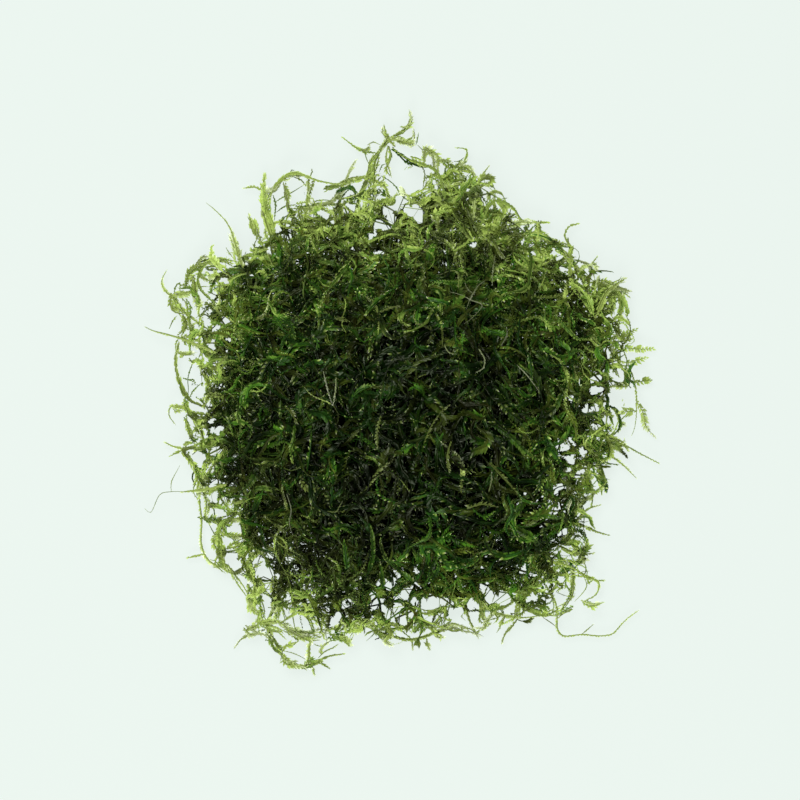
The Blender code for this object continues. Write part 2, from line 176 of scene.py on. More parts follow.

# Patches of moss that differ in colour and in painted light and shade: middle x and y, radius, change of age
# and change of painted light.
TINTS_AND_PAINTED_LIGHT = (
    (-24, 6, 12, -0.1, -0.1), (-12, -8, 9, -0.05, 0), (18, -28, 10, -0.08, -0.2), (24, 20, 10, -0.04, 0),
    (-4, 24, 8, -0.05, 0), (8, -2, 9, 0.02, 0), (-14, -32, 9, 0.08, -0.1), (-8, 14, 7, 0.03, 0),
    (-38, 0, 10, 0.05, 0), (0, 38, 10, 0.04, 0.2), (31, -15, 8, 0.08, 0.75), (36, -6, 7, 0.05, 0.45),
    (25, -26, 6, 0.04, 0.4), (32, -34, 7, 0.05, 0.3), (2, -38, 7, 0.06, 0.7), (20, -41, 7, 0.05, 0.3),
    (-33, -10, 7, -0.02, -0.3), (-22, -26, 8, 0.02, -0.4), (-24, 25, 8, -0.07, -0.6),
    (-30, 16, 6, 0, 0.1), (18, 30, 8, 0, -0.4), (12, 38, 7, -0.03, -0.1), (-8, -21, 8, 0.03, -0.95),
    (-20, -34, 7, 0.06, -0.9), (-21, 20, 7, -0.03, -0.6), (12, 28, 5, 0, -1), (-11, 28, 5, 0, -0.3),
    (-10, 4, 8, -0.02, -0.35), (-28, 3, 6, 0, -0.7), (-27, -12, 6, 0.05, -0.8), (28, -11, 5, 0.03, 1.1),
    (39, 3, 7, 0, 0.6), (9, -36, 7, 0.03, 0.95), (4, -28, 4, -0.02, 0.4), (-12, -12, 5, 0, 0.4),
    (26, 27, 7, 0.04, 0.5), (13, 20, 6, 0, 0.3), (20, -29, 6, 0.02, -0.3), (4, -4, 5, 0, -0.3),
    (21, 0, 6, 0.07, -0.4), (12, -15, 6, 0, -0.5), (-24, -18, 9, 0.1, 0), (-3, 4, 6, -0.03, 0),
    (9, 12, 6, -0.04, 0.1),
)

# Each clear shoot's route from root to tip as x, y, z, x, y, z and so on, and then its side shoots' routes.
CLEAR_SHOOTS = {
    "upper_left_hair": [
        (-312, 235, 35, -323, 270, 54, -334, 306, 63, -342, 330, 63, -353, 350, 60),
        (-346, 336, 62, -356, 352, 60, -377, 373, 45, -393, 386, 30),
    ],
    "upper_left_bud": [
        (-245, 225, 50, -275, 295, 75, -292, 318, 80, -298, 332, 80),
        (-294, 319, 80, -299, 336, 80, -304, 357, 80),
    ],
    "upper_left_tall_shoot": [
        (-230, 240, 50, -256, 307, 40, -274, 361, 35, -278, 403, 30, -277, 439, 25),
        (-278, 410, 30, -296, 419, 28, -318, 417, 20),
        (-276, 390, 30, -245, 429, 45, -215, 444, 55, -170, 429, 60, -132, 422, 60, -104, 425, 50),
    ],
    "top_plume": [
        (-100, 335, 50, -88, 390, 40, -70, 436, 30, -62, 470, 28, -44, 493, 26, -30, 514, 24,
         -39, 535, 20),
        (-50, 487, 26, -83, 493, 24, -118, 518, 18),
        (-30, 513, 24, -5, 528, 24, 17, 544, 22, 17, 563, 18), (-12, 524, 24, 8, 512, 22, 23, 522, 18),
    ],
    "top_arch": [(86, 390, 80, 72, 442, 70, 45, 460, 65, 23, 468, 60, 0, 480, 50, -15, 493, 42)],
    "top_hook": [(104, 375, 40, 112, 436, 34, 127, 470, 30, 130, 494, 26, 110, 498, 22)],
    "top_right_twig": [(140, 345, 60, 148, 403, 46, 154, 430, 34, 175, 461, 20)],
    "right_shoulder_arc": [
        (156, 335, 110, 178, 382, 80, 202, 386, 65, 225, 371, 50, 239, 352, 40, 260, 347, 30,
         292, 348, 20),
    ],
    "right_shoulder_hook": [
        (334, 215, 60, 339, 272, 46, 337, 299, 40, 327, 320, 32, 335, 338, 26, 353, 345, 20),
    ],
    "right_spur": [(362, 175, 50, 376, 233, 40, 381, 261, 30, 393, 278, 20)],
    "right_claw": [
        (384, 150, 80, 410, 205, 70, 445, 232, 54), (415, 209, 70, 436, 213, 60, 457, 208, 50),
    ],
    "right_long_shoot": [
        (386, 130, 44, 436, 102, 36, 456, 59, 30, 469, 19, 28, 472, -29, 25, 469, -64, 22, 463, -81, 20),
        (434, 104, 36, 449, 121, 36, 470, 131, 30), (440, 95, 34, 476, 92, 30, 505, 93, 20),
        (454, 65, 30, 491, 75, 24), (467, 24, 28, 486, 28, 24, 500, 29, 20),
        (472, -12, 26, 487, -39, 24, 491, -63, 20, 510, -84, 16), (472, -31, 25, 446, -34, 28),
    ],
    "right_lower_hair": [(385, -78, 54, 421, -92, 48, 453, -104, 40, 477, -117, 30, 517, -137, 16)],
    "right_lower_spike": [(365, -104, 34, 420, -124, 30, 443, -139, 24, 472, -167, 16)],
    "low_right_hook": [
        (315, -232, 50, 346, -252, 44, 373, -229, 36, 398, -222, 26),
        (344, -251, 44, 384, -272, 30, 415, -282, 18),
    ],
    "low_right_spur": [(298, -294, 40, 350, -320, 30, 384, -319, 20)],
    "low_right_loop": [
        (275, -325, 64, 336, -344, 50, 367, -363, 40, 395, -377, 30, 391, -401, 24, 369, -414, 22),
        (391, -374, 30, 407, -373, 24), (371, -413, 22, 386, -421, 20, 405, -418, 16),
    ],
    "lower_right_runner": [
        (274, -360, 36, 309, -420, 32, 312, -468, 22, 326, -486, 18, 363, -483, 18, 397, -486, 16,
         424, -482, 16, 441, -464, 16, 459, -447, 16, 475, -436, 16),
        (362, -483, 18, 385, -463, 18),
    ],
    "bottom_right_garland": [
        (138, -365, 54, 166, -420, 50, 196, -440, 40, 240, -448, 30, 280, -444, 26),
        (234, -448, 30, 222, -464, 26, 207, -482, 20, 202, -499, 16),
    ],
    "bottom_twig": [
        (116, -375, 34, 132, -443, 28, 144, -470, 22, 153, -488, 18), (149, -480, 20, 178, -460, 24),
    ],
    "bottom_garland": [
        (-85, -420, 40, -55, -470, 30, -20, -486, 24, 23, -493, 20, 74, -476, 24, 110, -466, 20),
        (20, -492, 20, 22, -513, 16),
    ],
    "bottom_left_garland": [
        (-235, -385, 38, -269, -460, 30, -252, -503, 24, -233, -534, 20, -205, -546, 18, -181, -543, 18,
         -150, -527, 22, -119, -521, 26),
        (-182, -543, 18, -176, -564, 16), (-166, -537, 20, -146, -552, 16),
        (-268, -468, 29, -296, -480, 26, -322, -490, 22, -336, -507, 16),
    ],
    "left_long_stem": [
        (-372, -125, 34, -406, -196, 26, -404, -253, 22, -405, -301, 20, -388, -336, 18, -346, -355, 22,
         -319, -386, 24, -300, -424, 24),
        (-399, -320, 19, -431, -328, 16), (-348, -354, 22, -369, -310, 30, -366, -260, 38),
    ],
    "left_far_hair": [
        (-350, -178, 76, -390, -188, 70, -442, -194, 60),
        (-430, -193, 63, -466, -194, 50, -487, -201, 40, -505, -236, 24, -517, -230, 20),
        (-462, -194, 51, -462, -174, 50, -446, -142, 46),
    ],
    "left_tuft": [
        (-374, -80, 40, -428, -106, 36, -457, -104, 30, -476, -96, 20), (-436, -107, 35, -466, -122, 22),
    ],
    "left_curl": [
        (-370, -42, 46, -425, -34, 40, -449, -22, 34, -465, -23, 30, -469, -40, 26, -459, -56, 24),
    ],
    "left_thick_shoot": [(-395, -24, 26, -429, -8, 30, -450, 34, 26, -456, 70, 24, -450, 102, 26)],
    "left_hair": [(-370, 84, 70, -428, 108, 60, -466, 120, 48, -500, 129, 30, -517, 137, 20)],
    "left_upper_shoot": [
        (-378, 124, 44, -430, 162, 36, -459, 196, 30, -476, 209, 26, -484, 230, 22, -475, 250, 18),
    ],
    "upper_left_small_arch": [
        (-364, 174, 50, -406, 216, 44, -403, 252, 40, -378, 273, 40, -356, 273, 40),
    ],
}

# The shoots that can be followed by eye, each from end to end as x, y, x, y and so on, by their look.
TRACED_SHOOTS = {
    "bright on top": [
        (254, 296, 258, 266, 255, 240, 252, 219, 240, 209, 220, 202, 202, 202),
        (222, 282, 244, 269, 256, 250), (306, 158, 316, 140, 330, 128, 346, 115, 366, 112),
        (330, 176, 316, 158, 310, 138), (-340, 226, -348, 206, -342, 184, -334, 166),
        (-322, 164, -330, 146, -334, 132), (57, 168, 48, 146, 32, 130, 8, 120),
        (-102, 268, -118, 240, -138, 217, -153, 197, -161, 177),
        (-211, -56, -209, -84, -216, -106, -213, -130),
    ],
    "green on top": [
        (-3, 218, -34, 198, -55, 181, -68, 160), (54, -236, 57, -260, 48, -279, 30, -290, 8, -302),
        (136, -220, 154, -238, 172, -228), (170, -264, 190, -268, 202, -254), (222, 14, 236, -2, 254, 4),
        (-316, -252, -290, -256, -268, -262), (-294, -304, -270, -310, -248, -312),
        (-65, -346, -60, -320, -56, -296, -61, -258), (-106, -342, -108, -314, -112, -288),
        (-96, -6, -80, 10, -58, 19), (-187, -150, -182, -120, -178, -94, -175, -76),
        (168, 126, 180, 122, 190, 118), (104, 158, 106, 120, 108, 90, 136, 78),
        (248, 84, 254, 56, 256, 26), (-240, 150, -220, 134, -210, 114),
    ],
    "pale on top": [
        (166, -130, 186, -150, 204, -170, 222, -188), (-56, -158, -40, -141, -26, -130),
        (-256, -254, -242, -264, -232, -270), (-134, 150, -120, 148, -106, 144),
        (126, -218, 156, -212, 184, -216), (-42, 160, -26, 170, -8, 174), (94, -90, 88, -120, 92, -150),
        (40, -94, 54, -64, 74, -34, 94, -20), (-40, -40, -48, -70, -44, -100),
        (-230, -20, -216, -38, -208, -56), (188, 306, 194, 286, 208, 268),
    ],
    "twig on top": [
        (164, 229, 150, 215, 138, 203, 132, 186, 128, 170), (122, 224, 129, 208, 141, 198),
        (94, 202, 116, 194, 136, 186, 155, 177, 148, 160, 134, 147, 122, 138), (222, 58, 240, 37, 267, 7),
        (79, 98, 89, 83, 106, 78), (149, 88, 159, 72, 157, 54, 144, 40),
        (-146, -226, -130, -225, -120, -214, -114, -204),
        (-225, -196, -218, -224, -222, -250, -213, -276), (279, 182, 281, 162, 274, 142),
        (-151, 44, -148, 10, -137, -18), (-126, 36, -130, 8, -134, -16), (194, 96, 204, 114, 204, 130),
        (166, -188, 170, -166, 174, -146), (184, 280, 180, 244, 176, 220),
    ],
    "pale band": [
        (-238, 426, -234, 402, -228, 380, -220, 355), (-184, 434, -188, 412, -190, 390, -188, 355),
        (-276, 350, -270, 380, -272, 406, -256, 420, -236, 436, -224, 441),
        (-2, 534, 10, 540, 20, 552, 18, 566), (-20, 515, -2, 511, 16, 507, 24, 527),
        (44, 466, 47, 482, 58, 491, 68, 480, 71, 460, 74, 425), (151, 432, 152, 410, 154, 385, 150, 355),
        (202, 342, 224, 341, 240, 348, 260, 348), (382, 210, 396, 226, 410, 228, 426, 221, 442, 231),
        (406, 224, 420, 214, 436, 210, 456, 211), (386, -66, 404, -80, 424, -86, 442, -96, 454, -104),
        (350, -138, 372, -138, 388, -134, 399, -142), (366, -140, 374, -160, 372, -180, 384, -196),
        (80, -470, 104, -465, 126, -467, 146, -472, 156, -482),
        (-124, -470, -100, -464, -80, -464, -58, -462, -42, -464),
        (-284, -460, -266, -456, -244, -460, -226, -466), (-314, -476, -300, -466, -286, -466),
        (-240, -466, -216, -472, -190, -478, -166, -480, -144, -480),
        (-236, -524, -232, -534, -220, -542, -204, -548, -188, -548),
        (-286, -336, -298, -348, -302, -362, -296, -380),
        (-308, -380, -306, -404, -302, -422, -290, -440, -288, -460),
        (-406, -146, -400, -166, -402, -188, -396, -206), (-450, 80, -436, 82, -424, 86),
        (-464, 200, -460, 178, -448, 166, -434, 158), (-462, 196, -448, 200, -430, 206, -418, 210),
        (-424, 236, -420, 220, -418, 208, -412, 192, -406, 180), (-326, 270, -334, 296, -340, 316),
    ],
    "olive band": [
        (-155, 410, -125, 422, -95, 433, -65, 437, -48, 439), (-66, 415, -64, 440, -56, 460, -50, 480),
        (-52, 410, -53, 440, -49, 465, -46, 490), (-220, 381, -185, 380, -150, 378, -120, 379),
        (82, 468, 96, 454, 112, 442, 124, 429), (244, 330, 268, 319, 286, 312),
        (276, 315, 294, 310, 308, 304, 326, 296), (278, 344, 277, 330, 279, 310),
        (344, 268, 352, 250, 364, 228, 380, 202), (326, 246, 340, 244, 346, 226, 364, 200),
        (454, 64, 452, 42, 449, 26, 440, 18, 420, 15, 405, 10),
        (334, -88, 346, -104, 354, -126, 348, -150), (368, -154, 354, -176, 362, -198),
        (336, -336, 340, -354, 336, -376, 342, -396, 330, -418, 320, -430),
        (344, -424, 328, -434, 312, -444), (228, -406, 244, -426, 266, -436, 290, -440, 312, -434),
        (234, -414, 234, -430, 228, -446), (142, -390, 146, -406, 158, -422, 162, -446, 166, -460),
        (-50, -446, -40, -456, -20, -462, 0, -466, 16, -470), (36, -430, 54, -438, 76, -432, 92, -422),
        (80, -444, 72, -456, 60, -460), (-90, -446, -76, -454, -60, -460, -44, -474, -36, -488),
        (-274, -480, -264, -488, -254, -500, -244, -514, -236, -526),
        (-276, -456, -264, -468, -246, -472, -234, -482),
        (-236, -476, -210, -486, -186, -490, -162, -486),
        (-258, -364, -256, -390, -254, -415, -252, -448),
        (-250, -370, -246, -400, -244, -424, -238, -450),
        (-304, -324, -308, -344, -300, -364, -294, -384),
        (-370, -266, -370, -290, -366, -316, -364, -340, -350, -354),
        (-366, -314, -360, -332, -348, -348, -338, -360),
        (-366, -260, -360, -270, -340, -280, -322, -280, -306, -274),
        (-354, -308, -340, -300, -322, -302, -304, -310),
        (-426, -118, -418, -140, -410, -160, -412, -184, -409, -204),
        (-444, 118, -430, 112, -416, 106, -404, 94),
        (-432, -4, -432, -20, -426, -40, -416, -60, -404, -78),
        (-434, -42, -430, -58, -424, -76, -416, -90), (-398, 40, -392, 24, -388, 4, -390, -20),
        (-408, -40, -394, -44, -382, -46), (-436, 162, -432, 140, -440, 124),
        (-432, 196, -430, 176, -428, 154, -426, 130), (-414, 100, -398, 90, -386, 78, -376, 62),
    ],
    "green band": [
        (426, 210, 439, 202, 443, 186, 439, 166, 432, 150), (400, 220, 416, 206, 424, 186, 422, 164),
        (380, 208, 394, 198, 408, 202, 422, 194), (374, 196, 382, 180, 396, 174, 416, 178, 428, 168),
        (362, -196, 354, -214, 348, -234, 336, -254), (334, -254, 336, -274, 326, -290),
        (316, -294, 336, -296, 350, -306, 346, -312), (16, -464, 30, -454, 42, -464, 38, -480),
        (24, -474, 38, -456, 56, -462, 62, -478), (-146, -480, -128, -484, -114, -488, -106, -498),
        (-200, -546, -188, -536, -174, -536, -164, -538),
        (-306, -368, -294, -380, -296, -400, -304, -416),
        (-290, -366, -292, -390, -288, -410, -282, -434, -276, -456),
        (-402, -244, -386, -250, -370, -254, -354, -252, -342, -246),
        (-432, 222, -426, 240, -416, 254, -400, 264, -380, 269, -356, 268, -336, 266),
        (-428, 130, -406, 122, -384, 116, -360, 120), (-206, -430, -184, -432, -164, -446, -156, -464),
    ],
    "dark band": [
        (406, 10, 409, -8, 414, -26, 420, -56), (414, -22, 428, -28, 439, -44, 437, -64, 424, -80),
        (306, -114, 328, -118, 346, -119, 360, -126),
        (156, -394, 162, -412, 178, -422, 198, -422, 216, -412, 234, -400),
        (-36, -418, -20, -416, -6, -412, 6, -420, 9, -430, 12, -456), (-396, 254, -376, 258, -356, 256),
        (-24, 499, -6, 484, 14, 471, 36, 463, 64, 460),
    ],
    "sprig": [
        (-224, 441, -210, 442, -200, 441), (-204, 382, -206, 365, -202, 345),
        (-168, 380, -140, 396, -120, 412, -100, 426), (-114, 426, -104, 446, -94, 468),
        (-28, 500, -28, 475, -29, 455, -25, 440), (-83, 493, -76, 488, -70, 494, -68, 500),
        (-44, 496, -32, 508, -26, 522), (-12, 498, -24, 510, -36, 528, -39, 536),
        (-36, 500, -22, 513, -4, 512), (18, 477, 30, 473, 42, 466),
        (-60, 432, -42, 422, -30, 414, -26, 395), (94, 452, 116, 460, 134, 455, 146, 440, 150, 426),
        (104, 446, 126, 453, 142, 446), (60, 464, 80, 472, 96, 464), (114, 442, 116, 462, 126, 472),
        (132, 420, 142, 422, 150, 410), (190, 388, 202, 376, 210, 364),
        (310, 312, 316, 296, 330, 274, 340, 262), (339, 304, 336, 284, 342, 266),
        (342, 274, 360, 266, 378, 263, 385, 252, 383, 230), (422, 156, 430, 136, 434, 116),
        (442, 106, 454, 112, 459, 114), (426, 94, 430, 76, 444, 66, 460, 60),
        (424, 120, 422, 98, 428, 70), (416, 66, 426, 50, 436, 40), (434, -56, 448, -59),
        (362, -38, 384, -39, 414, -40), (396, -96, 418, -104, 436, -102, 450, -94),
        (388, -194, 374, -204, 358, -216, 350, -230), (346, -148, 334, -168, 344, -186, 358, -198),
        (328, -134, 322, -156, 330, -180, 324, -206), (334, -176, 338, -200, 330, -224, 336, -246),
        (334, -246, 350, -260, 366, -266), (346, -316, 360, -322, 366, -332, 350, -338, 334, -334),
        (360, -414, 380, -418, 400, -418), (188, -420, 184, -438, 172, -454, 162, -466, 150, -469),
        (-36, -480, -32, -494, -20, -502), (44, -490, 48, -502, 56, -506),
        (56, -468, 72, -466, 90, -462, 106, -462, 120, -467), (62, -474, 74, -486, 82, -490),
        (-130, -486, -116, -490, -104, -498, -99, -486),
        (-318, -468, -304, -476, -290, -476, -278, -482, -266, -484),
        (-244, -510, -234, -502, -218, -502, -208, -494),
        (-182, -486, -186, -506, -188, -526, -190, -538), (-160, -524, -156, -510, -146, -496),
        (-158, -474, -138, -466, -118, -462, -96, -464), (-218, -434, -194, -444, -180, -460, -180, -476),
        (-362, -270, -350, -258, -336, -250, -322, -252, -316, -264),
        (-330, -324, -320, -318, -306, -316), (-398, -200, -390, -220, -394, -242, -386, -254),
        (-430, -20, -442, -24, -454, -22), (-456, -26, -450, -34, -440, -32),
        (-418, 196, -410, 184, -406, 194), (-412, 268, -398, 272, -384, 274),
        (-408, 246, -398, 234, -384, 226), (-280, 310, -288, 318, -290, 334, -292, 344),
        (-326, 270, -306, 278, -286, 282),
    ],
    "twig": [
        (-181, 455, -183, 448, -186, 430), (-217, 453, -224, 448, -228, 438),
        (-252, 390, -235, 402, -215, 407, -198, 423), (-254, 368, -236, 380, -215, 382),
        (-257, 403, -254, 382, -257, 350), (-178, 390, -160, 394, -142, 390),
        (-220, 439, -205, 432, -194, 422), (-46, 445, -38, 460, -30, 462), (-75, 488, -72, 476, -68, 462),
        (-68, 500, -58, 507, -47, 502), (27, 502, 31, 512, 34, 524), (-10, 519, 2, 526, 14, 537),
        (28, 502, 38, 493, 52, 490), (41, 462, 44, 440, 43, 415),
        (-42, 440, -26, 431, -12, 417, -2, 400, 20, 380), (-42, 440, -52, 424, -56, 404),
        (-66, 420, -62, 390, -66, 360, -60, 330), (104, 469, 114, 471, 124, 475),
        (360, 254, 374, 240, 390, 225), (316, 262, 330, 256, 344, 251), (436, 208, 448, 202, 459, 195),
        (382, -14, 390, -34, 392, -50), (312, -114, 315, -98, 324, -82),
        (366, -362, 370, -380, 364, -398, 348, -414), (286, -446, 300, -456, 310, -466),
        (170, -382, 168, -400, 162, -414), (188, -398, 184, -414), (126, -434, 118, -444, 128, -454),
        (-18, -416, -23, -434, -26, -456), (-6, -422, -12, -436, -20, -440), (-8, -442, -9, -460),
        (6, -420, 8, -438, 10, -454), (4, -388, 14, -399, 24, -404), (22, -380, 30, -394),
        (-4, -469, 8, -478, 19, -488), (94, -406, 90, -424, 84, -446), (98, -414, 90, -442, 84, -460),
        (-338, -364, -330, -384, -316, -402, -308, -416), (-322, -362, -312, -361, -306, -374),
        (-282, -372, -270, -376, -260, -366), (-282, -394, -272, -388, -260, -372),
        (-284, -400, -274, -392, -260, -389), (-282, -394, -270, -402, -260, -406),
        (-268, -426, -256, -428, -252, -440), (-240, -514, -224, -518, -206, -522, -190, -532),
        (-166, -528, -154, -514, -140, -508, -130, -500),
        (-178, -500, -162, -504, -146, -494, -132, -492), (-104, -484, -94, -474, -84, -471),
        (-388, -260, -378, -274, -370, -290), (-380, -216, -378, -236, -376, -252),
        (-382, -214, -366, -222, -356, -234, -344, -246), (-340, -280, -332, -294, -316, -286),
        (-344, -316, -326, -317, -308, -312), (-386, -330, -376, -332, -368, -342, -380, -346),
        (-420, -120, -410, -108, -400, -96), (-446, 117, -454, 102, -455, 84),
        (-446, 32, -442, 14, -437, 0), (-416, 72, -424, 54, -429, 34, -428, 10, -430, -10),
        (-414, 78, -408, 60, -402, 46, -402, 24), (-424, -6, -418, 10, -408, 22, -400, 26),
        (-426, 98, -426, 86, -418, 78), (-420, -44, -410, -60, -400, -70),
        (-466, 134, -460, 146, -452, 158), (-456, 200, -455, 216, -446, 222, -444, 204),
        (-448, 222, -436, 217, -430, 228), (-412, 216, -396, 218, -388, 216),
        (-354, 296, -346, 286, -338, 274), (-280, 280, -280, 300, -284, 314),
    ],
    "full sprig": [
        (-256, 320, -265, 350, -274, 380, -279, 414), (-262, 346, -272, 374, -276, 402, -284, 420),
        (-295, 318, -300, 336, -304, 356), (380, 194, 404, 214, 432, 226), (374, 174, 402, 192, 434, 198),
        (456, 160, 448, 184, 432, 204, 410, 216),
    ],
}

# A traced shoot's size, leaf angle in radians, least and most age, light and number of shoots twined in it.
TRACED_LOOKS = {
    "bright on top": (0.9, 0.5, 0.57, 0.65, 0.66, 1),
    "green on top": (0.95, 0.55, 0.48, 0.56, 0.5, 1),
    "pale on top": (0.75, 0.6, 0.7, 0.8, 0.27, 1),
    "twig on top": (0.42, 0.25, 0.82, 0.94, 0.42, 1),
    "pale band": (0.9, 0.62, 0.74, 0.88, 0.86, 3),
    "olive band": (0.82, 0.6, 0.64, 0.82, 0.8, 3),
    "green band": (0.9, 0.62, 0.60, 0.74, 0.84, 3),
    "dark band": (0.85, 0.4, 0.52, 0.7, 0.58, 2),
    "sprig": (0.8, 0.56, 0.70, 0.88, 0.88, 2),
    "twig": (0.45, 0.42, 0.60, 0.78, 0.7, 1),
    "full sprig": (1.1, 0.62, 0.62, 0.74, 0.95, 2),
}

# How full a clear shoot's stem and its side shoots are, and the side shoots' leaf angle in radians.
USUAL_LOOK = (0.85, 0.75, 0.5)
CLEAR_SHOOT_LOOKS = {
    "upper_left_hair": (0.75, 0.36, 0.4),
    "upper_left_bud": (0.4, 1.0, 0.5),
    "upper_left_tall_shoot": (1.45, 0.75, 0.4),
    "top_plume": (1.05, 0.75, 0.4),
    "top_arch": (0.8, 0.6, 0.4),
    "right_claw": (1.2, 0.95, 0.5),
    "right_long_shoot": (0.48, 1.1, 0.8),
    "right_lower_hair": (0.62, 0.4, 0.6),
    "right_lower_spike": (0.7, 0.5, 0.4),
    "low_right_hook": (0.8, 0.7, 0.4),
    "low_right_loop": (0.75, 0.5, 0.4),
    "lower_right_runner": (0.6, 0.4, 0.4),
    "bottom_right_garland": (0.8, 0.7, 0.4),
    "bottom_garland": (0.85, 0.6, 0.4),
    "bottom_left_garland": (1.0, 0.7, 0.4),
    "left_long_stem": (0.85, 0.7, 0.4),
    "left_far_hair": (0.85, 0.3, 0.3),
    "left_hair": (0.7, 0.4, 0.4),
    "left_tuft": (0.85, 0.7, 0.4),
    "left_thick_shoot": (1.25, 0.7, 0.4),
    "left_upper_shoot": (0.85, 0.7, 0.4),
}
STEM_LEAF_ANGLE = 0.42

# The moss's colours by age, from old brown stems through deep and mid green to fresh yellow-green tips; the
# palest end is also the near white of the painted glints.
AGE_COLOURS = (
    (0.00, (52, 47, 18)),
    (0.18, (88, 106, 36)),
    (0.34, (37, 78, 25)),
    (0.50, (68, 110, 27)),
    (0.74, (154, 174, 86)),
    (1.00, (212, 218, 190)),
)


def places(tenths, width):
    """A row of the tables as points of this many numbers each, in millimetres."""
    return np.reshape(tenths, (-1, width)) / 10


def linear(colour):
    """A colour of three numbers up to 255 as a linear colour with its alpha."""
    shares = [c / 255 for c in colour]
    return (*(s / 12.92 if s <= 0.04045 else ((s + 0.055) / 1.055) ** 2.4 for s in shares), 1.0)


def smooth_step(value, low, high):
    """0 up to low, 1 from high on, with a soft rise between."""
    t = np.clip((value - low) / (high - low), 0, 1)
    return t * t * (3 - 2 * t)


def unit(vectors):
    """These vectors made one long."""
    return vectors / np.maximum(np.linalg.norm(vectors, axis=-1, keepdims=True), 1e-9)


def waves(size, seed):
    """A smooth wandering field over x and y, mostly between -1 and 1, whose hills are about size apart."""
    chance = np.random.default_rng(seed)
    turn = chance.uniform(0, FULL_TURN, 8)
    span = size * chance.uniform(0.7, 1.6, 8)
    start = chance.uniform(0, FULL_TURN, 8)
    along_x, along_y = np.cos(turn) * FULL_TURN / span, np.sin(turn) * FULL_TURN / span

    def at(x, y):
        return np.sin(x[..., None] * along_x + y[..., None] * along_y + start).sum(-1) / 4

    return at


# Smooth fields: the first sets where old shoots gather, the second varies age and painted light, the third
# only painted light and shade.
OLD_PATCHES = waves(16, 9)
SMALL_PATCHES = waves(7, 5)
PAINTED_LUMP_SHADE = waves(3.8, 7)


class MassForm:
    """The heights of the solid mass's underside and top at each place, on a grid with a step of 1 mm."""

    HALF = 64
    FAR = 0.2

    def __init__(self, solid):
        tree = BVHTree.FromObject(solid, bpy.context.evaluated_depsgraph_get())
        side = 2 * self.HALF + 1
        top = np.full((side, side), np.nan)
        bottom = np.full((side, side), np.nan)
        for i in range(side):
            for j in range(side):
                x, y = (i - self.HALF) * MM, (j - self.HALF) * MM
                hit = tree.ray_cast(Vector((x, y, self.FAR)), Vector((0, 0, -1)))[0]
                if hit is None:
                    continue
                top[i, j] = hit.z / MM
                bottom[i, j] = tree.ray_cast(Vector((x, y, -self.FAR)), Vector((0, 0, 1)))[0].z / MM
        self.top = self.smoothed(self.filled(top))
        self.bottom = self.smoothed(self.filled(bottom))

    @staticmethod
    def block(grid):
        """The grid and its copies shifted by one place to all sides."""
        return np.stack([np.roll(grid, (i, j), (0, 1)) for i in (-1, 0, 1) for j in (-1, 0, 1)])

    def filled(self, grid):
        """The grid with the places outside the mass given the heights of the nearest places in it."""
        while np.isnan(grid).any():
            around = self.block(grid)
            known = ~np.isnan(around)
            mean = np.where(known, around, 0).sum(0) / np.maximum(known.sum(0), 1)
            grid = np.where(np.isnan(grid) & known.any(0), mean, grid)
        return grid

    def smoothed(self, grid):
        for _ in range(2):
            grid = np.mean(self.block(grid), axis=0)
        return grid

    def heights(self, x, y):
        """The heights of the underside and of the top at these places."""
        i = np.clip(x + self.HALF, 0, 2 * self.HALF - 1.001)
        j = np.clip(y + self.HALF, 0, 2 * self.HALF - 1.001)
        i0, j0 = i.astype(int), j.astype(int)
        s, t = i - i0, j - j0

        def between(grid):
            low = grid[i0, j0] * (1 - s) + grid[i0 + 1, j0] * s
            high = grid[i0, j0 + 1] * (1 - s) + grid[i0 + 1, j0 + 1] * s
            return low * (1 - t) + high * t

        return between(self.bottom), between(self.top)


class Growth:
    """A set of leafy shoots as one mesh in the making."""

    def __init__(self):
        self.points = []
        self.faces = []
        self.colours = []
        self.point_count = 0

    def add(self, points, faces, colours):
        self.points.append(points.reshape(-1, 3))
        self.faces.append(faces.reshape(-1, 3) + self.point_count)
        self.colours.append(colours.reshape(-1, 2))
        self.point_count += self.points[-1].shape[0]


def hole_edge(dx, dy, x, y, radius):
    """How far an uneven hole's edge is from its middle in the direction of each of these places."""
    angle = np.arctan2(dy, dx)
    uneven = 0.3 * np.sin(2 * angle + x) + 0.25 * np.sin(3 * angle + y) + 0.15 * np.sin(5 * angle + x * y)
    return radius * (1.05 + uneven)


def in_hole(route):
    """Whether each of these points is low down in one of the clump's holes."""
    flat = route.reshape(-1, 3)
    inside = np.zeros(len(flat), bool)
    for x, y, radius in places(HOLES, 3):
        near = np.flatnonzero((flat[:, 0] - x) ** 2 + (flat[:, 1] - y) ** 2 < (2 * radius) ** 2)
        dx, dy = flat[near, 0] - x, flat[near, 1] - y
        inside[near] |= np.hypot(dx, dy) < hole_edge(dx, dy, x, y, radius - 0.2)
    return (inside & (flat[:, 2] < HOLE_TOP)).reshape(route.shape[:-1])


def bent_from_holes(xs, ys, heights, chance):
    """The routes pushed aside, most of them fully and in two rounds, so that the holes stay open."""
    obeys = np.where(chance.uniform(0, 1, len(xs)) < 0.94, 1.0, 0.3)[:, None]
    low = np.clip((BENT_FROM - heights) / (BENT_FROM - BENT_FULLY), 0, 1)
    for x, y, radius in places(HOLES * 2, 3):
        dx, dy = xs - x, ys - y
        away = np.hypot(dx, dy)
        push = np.clip(hole_edge(dx, dy, x, y, radius) - away, 0, None) * low * obeys
        xs = xs + dx / np.maximum(away, 0.05) * push
        ys = ys + dy / np.maximum(away, 0.05) * push
    return xs, ys


